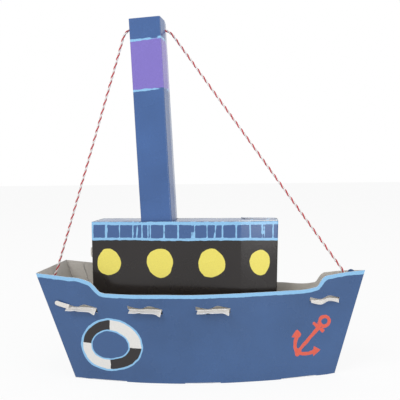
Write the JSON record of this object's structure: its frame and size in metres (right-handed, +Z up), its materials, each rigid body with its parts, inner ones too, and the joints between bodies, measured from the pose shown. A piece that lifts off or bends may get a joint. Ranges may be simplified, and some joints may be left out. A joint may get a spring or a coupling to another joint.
{
  "type": "folded card toy steamboat",
  "caption": "Toy steamboat folded from printed card: raked-stern hull, deckhouse with portholes, tall square funnel and a striped twine stay from stern to bow.",
  "frame": {"origin": "on the table under the middle of the boat", "axes": "+X to the bow, +Y to the side away from the main view, +Z up the funnel"},
  "size_m": [0.2411, 0.0712, 0.2647],
  "materials": {
    "hull_card": "blue printed card with a gloss coat outside, unprinted off-white inside",
    "plain_card": "unprinted off-white card, matt",
    "house_card": "charcoal and blue printed card with yellow portholes, gloss coat",
    "funnel_card": "blue printed card with a violet band, gloss coat",
    "twine": "red and white twisted cotton twine"
  },
  "bodies": {
    "root": {"hull": "hull_card", "deck": "plain_card", "deckhouse": "house_card", "funnel": "funnel_card", "twine": "twine", "knot_stern": "twine", "knot_bow": "twine"}
  },
  "joints": []
}
